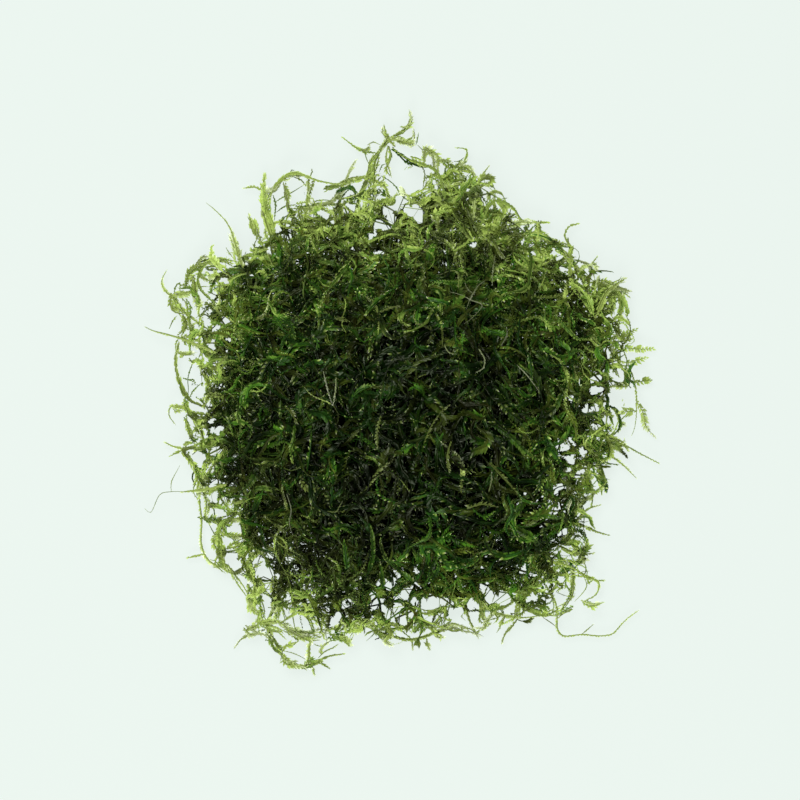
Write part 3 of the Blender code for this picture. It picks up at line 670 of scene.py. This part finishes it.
def stems(growth, route, side, over, radius, age, light, crosses):
    """Three-sided stems, thin at both ends. Their two colour values run round and along the stem."""
    count, knots = route.shape[:2]
    along = np.linspace(0, 1, knots)
    thick = radius[:, None] * (0.35 + 0.65 * np.sin(np.pi * along**0.8))
    k = np.arange(3)
    angles = k * 2 * np.pi / 3
    ring = (
        side[:, :, None] * np.cos(angles)[:, None]
        + over[:, :, None] * np.sin(angles)[:, None]
    )
    points = route[:, :, None] + ring * thick[:, :, None, None]
    stem_age = np.where(age > 0.58, age - 0.05, age * 0.75)
    colours = np.empty((count, knots, 3, 2))
    colours[..., 0] = stem_age[:, None, None] + np.array([0.0, 0.02, 0.04])
    colours[..., 1] = light[:, :, None] * 0.8
    first = (np.arange(count)[:, None, None] * knots + np.arange(knots - 1)[:, None]) * 3
    a, b = first + k, first + (k + 1) % 3
    faces = np.stack([np.stack([a, b, b + 3], -1), np.stack([a, b + 3, a + 3], -1)], -2)
    kept = crosses[:, None] | ~in_hole(route[:, 1:] * 0.5 + route[:, :-1] * 0.5)
    growth.add(points, faces[kept], colours)


def leaves(growth, route, ways, leaf_count, size, angle, age, light, bare, taper, holes, chance):
    """Folded, pointed leaves on alternate sides of each stem, smaller towards both ends of their row."""
    count, knots = route.shape[:2]
    shape = (count, leaf_count)
    end = 0.9999
    stray = chance.normal(0, 0.25 / leaf_count, shape)
    row_place = np.clip(np.linspace(0, 1, leaf_count)[None] + stray, 0, end)
    place = bare[:, None] + (end - bare[:, None]) * row_place
    knot = place * (knots - 1)
    k = knot.astype(int)
    t = (knot - k)[..., None]
    row = np.arange(count)[:, None]

    def at(values):
        return values[row, k] * (1 - t) + values[row, k + 1] * t

    base = at(route)
    ahead, across, up = (unit(at(way)) for way in ways)
    which = np.where(np.arange(leaf_count) % 2 == 0, 1.0, -1.0)
    lean = chance.normal(LEAF_LEAN, 0.2, shape)
    swing = angle[:, None] * chance.uniform(0.8, 1.2, shape) * (1 - 0.65 * row_place**6)
    out = across * (which * np.cos(lean))[..., None] + up * np.sin(lean)[..., None]
    point_to = ahead * np.cos(swing)[..., None] + out * np.sin(swing)[..., None]
    breadth = unit(ahead - point_to * (ahead * point_to).sum(-1, keepdims=True))
    face = np.cross(point_to, breadth)
    face *= np.where((face * up).sum(-1, keepdims=True) < 0, -1.0, 1.0)

    full = size[:, None] * (1 - taper + taper * np.sin(np.pi * row_place**0.8))
    full = full * chance.uniform(0.8, 1.15, shape)
    start = chance.uniform(0, 6.28, count)[:, None]
    full *= 1 + 0.2 * np.sin(start + row_place * chance.uniform(4, 16, count)[:, None])
    long = (LEAF_LENGTH * full)[..., None]
    wide = (LEAF_WIDTH * full * chance.uniform(0.85, 1.15, shape))[..., None]
    curl = chance.normal(-0.08, 0.06, shape)[..., None]
    widest = base + point_to * long * LEAF_WIDEST
    fold = face * wide * LEAF_FOLD
    tip = base + point_to * long + face * long * curl
    corners = [base, widest + breadth * wide * 0.5 + fold, widest - breadth * wide * 0.5 + fold, tip]
    points = np.stack(corners, axis=2)

    leaf_age = age[:, None] + chance.normal(0, 0.02, shape) + 0.12 * (place - 0.6)
    # Painted light: darker at each leaf's base and brighter at its tip, and brighter towards the shoot's
    # tip.
    leaf_light = at(light[..., None])[..., 0] * np.exp(chance.normal(0, 0.14, shape)) * (0.85 + 0.3 * place)
    colours = np.empty((*shape, 4, 2))
    colours[..., 0] = leaf_age[..., None] + np.array([-0.03, 0.015, 0.01, 0.05])
    colours[..., 1] = leaf_light[..., None] * np.array([0.8, 1.05, 1.0, 1.1])
    # Painted glints: some leaf tips are made near white and brighter, as painted highlights.
    painted_glint = chance.uniform(0, 1, shape) < GLINTS * chance.uniform(0, 1, (count, 1)) ** 2
    colours[painted_glint, 3, 0] = GLINT_AGE
    colours[painted_glint, 3, 1] += GLINT_LIGHT
    kept = ~(in_hole(tip * 0.5 + base * 0.5) & holes)
    points, colours = points[kept], colours[kept]
    first = np.arange(len(points)) * 4
    growth.add(points, first[:, None, None] + np.array([[0, 3, 1], [0, 2, 3]]), colours)


def grow(
    growth, route, leaf_count, size, angle, age, light, bare, chance,
    taper=0.6, plump=PLUMPNESS, holes=False, roll=1.0,
):
    """Stems along the routes with their leaves, which spread in a plane that rolls and twists."""
    count, knots = route.shape[:2]
    ahead = unit(np.gradient(route, axis=1))
    side = unit(np.cross(np.array([0.0, 0.0, 1.0]), ahead) + np.array([1e-5, 0, 0]))
    over = np.cross(ahead, side)
    start = chance.normal(0, 0.6, count)[:, None]
    turn = start + chance.normal(0, 0.9, count)[:, None] * np.linspace(0, 1, knots)
    turn *= roll
    c, s = np.cos(turn)[..., None], np.sin(turn)[..., None]
    side, over = side * c + over * s, over * c - side * s
    closed = (1 - smooth_step(angle, 0.5, 0.8)) * (1 - bare)
    crosses = chance.uniform(0, 1, count) < (0.15 if holes else 1.0)
    radius = STEM_RADIUS * size * (1 + plump * closed)
    stems(growth, route, side, over, radius, age, light, crosses)
    ways = (ahead, side, over)
    leaves(growth, route, ways, leaf_count, size, angle, age, light, bare, taper, holes, chance)


def wander(x, y, heading, length, curl, wobble, knots, chance):
    """Curling routes as seen from above."""
    along = np.linspace(0, 1, knots)
    phase = chance.uniform(0, FULL_TURN, len(x))
    rate = chance.uniform(0.3, 0.9, len(x)) * length
    turn = heading[:, None] + curl[:, None] * along**1.4
    turn = turn + wobble[:, None] * np.sin(phase[:, None] + rate[:, None] * along)
    step = length[:, None] / (knots - 1)

    def walked(start, steps):
        return start[:, None] + np.concatenate([np.zeros((len(x), 1)), np.cumsum(steps, 1)[:, :-1]], 1)

    return walked(x, np.cos(turn) * step), walked(y, np.sin(turn) * step)


def reach_at(reaches, angle):
    """How far this table of reaches goes in these directions."""
    turns = (angle / FULL_TURN) % 1 * len(reaches)
    k = turns.astype(int) % len(reaches)
    t = smooth_step(turns - turns.astype(int), 0, 1)
    reaches = np.array(reaches)
    return reaches[k] * (1 - t) + reaches[(k + 1) % len(reaches)] * t


def held_within(xs, ys, reaches, beyond):
    """The routes shortened towards their starts where they would go too far beyond these reaches."""
    over = np.hypot(xs, ys) / reach_at(reaches, np.arctan2(ys, xs)) / beyond[:, None]
    start = np.minimum(over[:, :1], 0.95)
    kept = np.clip((1 - start) / np.maximum(over.max(1, keepdims=True) - start, 1e-3), 0.3, 1)
    return xs[:, :1] + (xs - xs[:, :1]) * kept, ys[:, :1] + (ys - ys[:, :1]) * kept


def places_in(count, low, high, chance):
    """Places between these shares of the dense moss's reach, evenly spread on a jittered spiral."""
    golden_angle = 2.39996
    k = np.arange(count) + 0.5
    angle = k * golden_angle + chance.normal(0, 0.03, count)
    share = np.sqrt(low**2 + (high**2 - low**2) * k / count) + chance.normal(0, 0.01, count)
    away = share * reach_at(DENSE_REACH, angle)
    return away * np.cos(angle), away * np.sin(angle), angle


def rimness(x, y):
    """0 in the thick middle of the clump, 1 at its thin rim."""
    across = (x - THICK_CENTRE[0]) / THICK_HALVES[0]
    along = (y - THICK_CENTRE[1]) / THICK_HALVES[1]
    return smooth_step(np.hypot(across, along), RIM_FROM, RIM_FULL)


def shaded(light, x, y, depth):
    """The painted light along each route: painted shade in hollows and where it dips deep into the thick of
    the mass.
    """
    rim = rimness(x, y)
    hollows = np.exp(HOLLOWS * SMALL_PATCHES(x, y) + HOLLOWS * PAINTED_LUMP_SHADE(x, y))
    sunk = np.exp(-np.clip(depth, 0, None) / DARK_DEPTH)
    return light[:, None] * hollows * (OPEN_RIM * rim + (1 - OPEN_RIM * rim) * sunk)


def age_and_light(x, y, level, chance):
    """Old, darker in colour and in painted shade in the middle, younger, paler and painted lighter towards
    the rim, with patches of each.
    """
    count = len(x)
    rim = rimness(x, y)
    age = MIDDLE_AGE + RIM_AGE * rim + 0.05 * SMALL_PATCHES(x, y)
    age = age + chance.normal(0, 1, count) * (0.065 - 0.015 * rim)
    lighter = np.zeros(count)
    for tint_x, tint_y, radius, older, change in TINTS_AND_PAINTED_LIGHT:
        near = np.exp(-((x - tint_x) ** 2 + (y - tint_y) ** 2) / radius**2)
        age = age + older * near
        lighter = lighter + change * near
    old = chance.uniform(0, 1, count) < OLD_SHARE - 0.02 * rim + 0.14 * OLD_PATCHES(x, y)
    age = np.where(old, chance.uniform(*OLD_AGES, count), age)
    light = (MIDDLE_LIGHT + RIM_LIGHT * rim**1.7) * np.exp(lighter + chance.normal(0, 0.43, count))
    fresh = (chance.uniform(0, 1, count) < FRESH_SHARE + 0.01 * rim) & (level > 0.6)
    age = np.where(fresh, chance.uniform(*FRESH_AGES, count), age)
    light = np.where(fresh, np.maximum(light, chance.uniform(0.22, 0.4, count) + 0.25 * rim), light)
    return age, light


def shoot_kinds(count, thin, feathery, stemmy, chance):
    """Size, leaf angle and share of bare stem, with these shares of thin, feathery and stemmy shoots."""
    kind = chance.uniform(0, 1, count)
    size = np.where(kind < thin, chance.uniform(0.4, 0.65, count), chance.uniform(0.65, 1.15, count))
    angle = chance.uniform(0.34, 0.75, count)
    bare = np.where(kind > 1 - stemmy, chance.uniform(0.4, 0.8, count), chance.uniform(0.0, 0.12, count))
    is_feathery = chance.uniform(0, 1, count) < feathery
    angle = np.where(is_feathery, chance.uniform(0.75, 1.05, count), angle)
    size = np.where(is_feathery, size * 0.75, size)
    return dict(size=size, angle=angle, bare=bare)


def shoots_over(
    form, growth, count, low, high, level, chance, knots=8, long=(9, 16), broader=1.0, plump=PLUMPNESS
):
    """Shoots that wander over the mass at these levels of its thickness, 0 its underside and 1 its top."""
    x, y, _ = places_in(count, low, high, chance)
    heading = chance.uniform(0, FULL_TURN, count)
    length = chance.uniform(*long, count)
    curl = chance.normal(0, 1.3, count)
    xs, ys = wander(x, y, heading, length, curl, chance.uniform(0.15, 1.1, count), knots, chance)
    xs, ys = held_within(xs, ys, DENSE_REACH, chance.normal(0.99, 0.04, count))
    at_level = chance.uniform(*level, count)
    low_z, high_z = form.heights(xs, ys)
    thick = np.maximum(high_z - low_z, 3.0)
    along = np.linspace(0, 1, knots)
    rise = chance.uniform(-0.5, 1.6, count)
    start = chance.uniform(0, 6.28, count)[:, None]
    rolling = start + along * (length * chance.uniform(0.2, 0.7, count))[:, None]
    zs = low_z + thick * at_level[:, None] + rise[:, None] * along**2
    zs = zs + chance.uniform(0.3, 1.4, count)[:, None] * np.sin(rolling)
    zs = np.clip(zs, 0.5, np.maximum(high_z + 0.3, 1.5))
    xs, ys = bent_from_holes(xs, ys, zs, chance)
    middle = (xs[:, knots // 2], ys[:, knots // 2])
    age, light = age_and_light(*middle, at_level, chance)
    kinds = shoot_kinds(count, thin=0.25, feathery=0.12, stemmy=0.03, chance=chance)
    rim = rimness(*middle)
    kinds["size"] = kinds["size"] * (1 + (broader - 1) * (1 - rim))
    kinds["size"] = kinds["size"] * np.where((age > 0.6) & (rim < 0.8), 0.65, 1)
    kinds["light"] = shaded(light, xs, ys, high_z - zs)
    leaf_count = int(np.mean(long) / LEAF_STEP)
    route = np.stack([xs, ys, zs], -1)
    grow(growth, route, leaf_count, age=age, chance=chance, plump=plump, holes=True, **kinds)


def rim_shoots(form, growth, count, chance, knots=14, long=(11, 24)):
    """Long loose shoots that loop and hang out over the rim in all directions."""
    x, y, angle = places_in(count, 0.8, 1.0, chance)
    heading = angle + chance.normal(0, 1.1, count)
    length = chance.uniform(*long, count)
    curl = chance.normal(0, 2.2, count)
    xs, ys = wander(x, y, heading, length, curl, chance.uniform(0.1, 0.7, count), knots, chance)
    xs, ys = held_within(xs, ys, FRINGE_REACH, chance.normal(1.0, 0.035, count))
    low_z, high_z = form.heights(xs, ys)
    along = np.linspace(0, 1, knots)
    zs = low_z + np.maximum(high_z - low_z, 4.0) * chance.uniform(0.0, 1.0, count)[:, None]
    zs = zs + chance.uniform(-2, 1.5, count)[:, None] * along
    zs = np.clip(zs, 0.6, np.maximum(high_z + 0.3, 5.0))
    xs, ys = bent_from_holes(xs, ys, zs, chance)
    age, light = age_and_light(xs[:, -4], ys[:, -4], np.ones(count), chance)
    age = np.where(age > 0.25, np.maximum(age, 0.5), age)
    kinds = shoot_kinds(count, thin=0.3, feathery=0.2, stemmy=0.15, chance=chance)
    # Painted light: brighter the further the shoots hang out over the thin rim, darker where they dip into
    # the mass.
    light = shaded(np.maximum(light, 0.35) + 0.2, xs, ys, high_z - zs)
    kinds["light"] = light * (0.4 + 0.65 * rimness(xs, ys))
    leaf_count = int(np.mean(long) / LEAF_STEP)
    route = np.stack([xs, ys, zs], -1)
    grow(growth, route, leaf_count, age=age + 0.05, chance=chance, holes=True, **kinds)


def smooth_route(points, step):
    """Points about this far apart on a smooth curve through the route's own points."""
    knots = [2 * points[0] - points[1], *points, 2 * points[-1] - points[-2]]
    found = []
    for a, b, c, d in zip(knots, knots[1:], knots[2:], knots[3:]):
        steps = max(1, round(float(np.linalg.norm(c - b)) / step))
        for k in range(steps):
            t = k / steps
            place = 2 * b + (c - a) * t + (2 * a - 5 * b + 4 * c - d) * t**2
            found.append(0.5 * (place + (3 * b - a - 3 * c + d) * t**3))
    found.append(knots[-2])
    return np.array(found)


def single_shoot(growth, route, fewest, size, angle, age, light, chance, **settings):
    """One shoot in even light along this route, with this many leaves or more."""
    long = float(np.linalg.norm(np.diff(route, axis=0), axis=1).sum())
    grow(
        growth, route[None], max(fewest, int(long / LEAF_STEP)), size=size, angle=np.array([angle]),
        age=age, light=np.full((1, len(route)), light), bare=np.zeros(1), chance=chance, **settings,
    )


def traced_shoots(form, growth, chance):
    """The traced shoots, on top of the mass or, in the open rim, between its underside and top."""
    for look, routes in TRACED_SHOOTS.items():
        size, angle, least_age, most_age, light, twined = TRACED_LOOKS[look]
        for tenths in routes * twined:
            points = places(tenths, 2)
            x, y = (points + chance.normal(0, 0.14 * twined, points.shape)).T
            low_z, high_z = form.heights(x, y)
            if look.endswith("on top"):
                z = high_z + chance.uniform(0.4, 1.1, len(x))
            else:
                z = low_z + np.clip(high_z - low_z, 2.5, 9) * chance.uniform(0.15, 0.8)
                z = z + chance.normal(0, 0.4, len(x))
                z = np.clip(z, 0.7, np.maximum(high_z, 4.0))
            route = smooth_route(np.stack([x, y, z], -1), 0.8)
            single_shoot(
                growth, route, 6, size * chance.uniform(0.8, 1.15, 1), angle,
                chance.uniform(least_age, most_age, 1), light * chance.uniform(0.62, 1.2), chance,
                taper=0.4,
            )


def clear_shoot(name, routes, chance):
    """One shoot that stands clear of the mass, with its side shoots."""
    growth = Growth()
    stem_size, side_size, side_angle = CLEAR_SHOOT_LOOKS.get(name, USUAL_LOOK)
    looks = [(stem_size, STEM_LEAF_ANGLE)] + [(side_size, side_angle)] * (len(routes) - 1)
    for tenths, (size, angle) in zip(routes, looks):
        route = smooth_route(places(tenths, 3), 0.9)
        single_shoot(
            growth, route, 8, size * chance.uniform(0.9, 1.1, 1), angle,
            chance.uniform(0.68, 0.84, 1), chance.uniform(0.6, 0.95), chance, taper=0.35, roll=0.4,
        )
    return growth


def empty_material(name):
    """A material without nodes, and the function that adds one with its sockets set or joined."""
    made = bpy.data.materials.new(name)
    made.use_nodes = True
    tree = made.node_tree
    tree.nodes.clear()

    def add(kind, **sockets):
        node = tree.nodes.new("ShaderNode" + kind)
        for label, value in sockets.items():
            socket = node.inputs[label.replace("_", " ")]
            if isinstance(value, bpy.types.NodeSocket):
                tree.links.new(value, socket)
            else:
                socket.default_value = value
        return node

    return made, add


def mix_to_surface(made, add, first, second, share):
    """Makes the material's surface of these two nodes, with this share of the second."""
    both = add("MixShader", Fac=share)
    made.node_tree.links.new(first.outputs[0], both.inputs[1])
    made.node_tree.links.new(second.outputs[0], both.inputs[2])
    add("OutputMaterial", Surface=both.outputs["Shader"])


def moss_material(name, gloss):
    """Moss coloured by the two values that its meshes carry: age, and painted light for how much light
    reaches it.
    """
    made, add = empty_material(name)
    where = add("UVMap")
    where.uv_map = "OFBake"
    values = add("SeparateXYZ", Vector=where.outputs["UV"])
    ramp = add("ValToRGB", Fac=values.outputs["X"])
    ramp.color_ramp.interpolation = "EASE"
    stops = ramp.color_ramp.elements
    for k, (age, colour) in enumerate(AGE_COLOURS):
        stop = stops[k] if k < 2 else stops.new(age)
        stop.position = age
        stop.color = linear(colour)
    darkest, lightest = LIGHT_RANGE
    dim = add("MapRange", Value=values.outputs["Y"], To_Min=darkest, To_Max=lightest)
    scaled = add("VectorMath")
    scaled.operation = "SCALE"
    made.node_tree.links.new(ramp.outputs["Color"], scaled.inputs["Vector"])
    made.node_tree.links.new(dim.outputs["Result"], scaled.inputs["Scale"])
    colour = scaled.outputs["Vector"]
    surface = add("BsdfPrincipled", Base_Color=colour, Roughness=ROUGHNESS)
    surface.inputs["Specular IOR Level"].default_value = gloss
    surface.inputs["Specular Tint"].default_value = GLOSS_TINT
    through = add("BsdfTranslucent", Color=colour)
    mix_to_surface(made, add, surface, through, SEE_THROUGH)
    return made


def make_piece(name, growth, material, slot, *nodes):
    """One mesh of everything in this growth, resting on the floor where it would pass through it."""
    points = np.concatenate(growth.points) * MM
    points[:, 2] = np.maximum(points[:, 2], LOWEST * MM)
    faces = np.concatenate(growth.faces)
    colours = np.clip(np.concatenate(growth.colours), *COLOUR_VALUES)
    mesh = bpy.data.meshes.new(name)
    mesh.vertices.add(len(points))
    mesh.vertices.foreach_set("co", points.astype(np.float32).ravel())
    mesh.loops.add(faces.size)
    mesh.loops.foreach_set("vertex_index", faces.astype(np.int32).ravel())
    mesh.polygons.add(len(faces))
    mesh.polygons.foreach_set("loop_start", np.arange(0, faces.size, 3, dtype=np.int32))
    mesh.update(calc_edges=True)
    mesh.shade_smooth()
    layer = mesh.uv_layers.new(name="OFBake")
    layer.data.foreach_set("uv", colours[faces.ravel()].astype(np.float32).ravel())
    mesh.materials.append(material)
    piece = bpy.data.objects.new(name, mesh)
    bpy.context.scene.collection.objects.link(piece)
    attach(piece, "root")
    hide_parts(*nodes)


def make_floor():
    made, add = empty_material("pale floor")
    colour = linear(FLOOR_COLOUR)
    glow = add("Emission", Color=colour, Strength=FLOOR_GLOW)
    mix_to_surface(made, add, glow, add("BsdfDiffuse", Color=colour), FLOOR_SHADE)
    mesh = bpy.data.meshes.new("floor")
    sides = ((-1, -1), (1, -1), (1, 1), (-1, 1))
    corners = [(x * FLOOR_HALF, y * FLOOR_HALF, FLOOR_LOW) for x, y in sides]
    mesh.from_pydata(corners, [], [(0, 1, 2, 3)])
    mesh.materials.append(made)
    floor = bpy.data.objects.new("floor", mesh)
    bpy.context.scene.collection.objects.link(floor)


def add_light(name, place, width, strength):
    data = bpy.data.lights.new(name, "AREA")
    data.size = width
    data.energy = strength
    light = bpy.data.objects.new(name, data)
    light.location = place
    light.rotation_mode = "QUATERNION"
    light.rotation_quaternion = (-Vector(place)).to_track_quat("-Z", "Y")
    bpy.context.scene.collection.objects.link(light)


def light_and_camera():
    scene = bpy.context.scene
    scene.world = bpy.data.worlds.new("soft light")
    scene.world.use_nodes = True
    sky = scene.world.node_tree.nodes["Background"]
    sky.inputs["Color"].default_value = SKY_TINT
    sky.inputs["Strength"].default_value = SKY_STRENGTH
    for lamp in LAMPS:
        add_light(*lamp)
    scene.view_settings.view_transform = "Standard"
    data = bpy.data.cameras.new("camera")
    data.lens = LENS
    data.sensor_width = SENSOR
    data.clip_start = 0.01
    data.clip_end = 10
    camera = bpy.data.objects.new("camera", data)
    width = PICTURE_PIXELS * PIXEL
    distance = width * LENS / SENSOR
    camera.location = (PICTURE_MIDDLE[0] * MM, PICTURE_MIDDLE[1] * MM, (SHARP_HEIGHT + distance) * MM)
    scene.collection.objects.link(camera)
    scene.camera = camera


def layers():
    """Each layer's name, the function that grows it and that function's settings."""
    long_ones = dict(knots=13, long=(10, 20), plump=1.2)
    return (
        ("crown_shoots", shoots_over,
         dict(count=950, low=0, high=0.66, level=(0.82, 1.0), **long_ones, broader=1.3)),
        ("slope_shoots", shoots_over,
         dict(count=850, low=0.6, high=0.92, level=(0.75, 1.0), **long_ones, broader=1.15)),
        ("upper_shoots", shoots_over, dict(count=1400, low=0.0, high=0.94, level=(0.4, 0.84))),
        ("inner_shoots", shoots_over, dict(count=1100, low=0.0, high=0.92, level=(0.15, 0.6), broader=1.6)),
        ("under_shoots", shoots_over, dict(count=1200, low=0.0, high=0.92, level=(0.0, 0.2), broader=2.4)),
        ("edge_shoots", shoots_over, dict(count=420, low=0.86, high=1.0, level=(0.1, 1.0), long=(6, 12))),
        ("rim_shoots", rim_shoots, dict(count=300)),
        ("traced_shoots", traced_shoots, {}),
    )


def main():
    make_floor()
    light_and_camera()
    form = MassForm(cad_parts["moss_tangle"])
    material = moss_material("moss", GLOSS)
    inner_material = moss_material("moss inside", INNER_GLOSS)
    for k, (name, make, settings) in enumerate(layers()):
        growth = Growth()
        make(form, growth, chance=np.random.default_rng(100 + k), **settings)
        inside = name in ("inner_shoots", "under_shoots")
        make_piece(name, growth, inner_material if inside else material, "moss", "moss_tangle")
    chance = np.random.default_rng(50)
    for name, routes in CLEAR_SHOOTS.items():
        make_piece(name + "_leaves", clear_shoot(name, routes, chance), material, "shoot", name)


main()
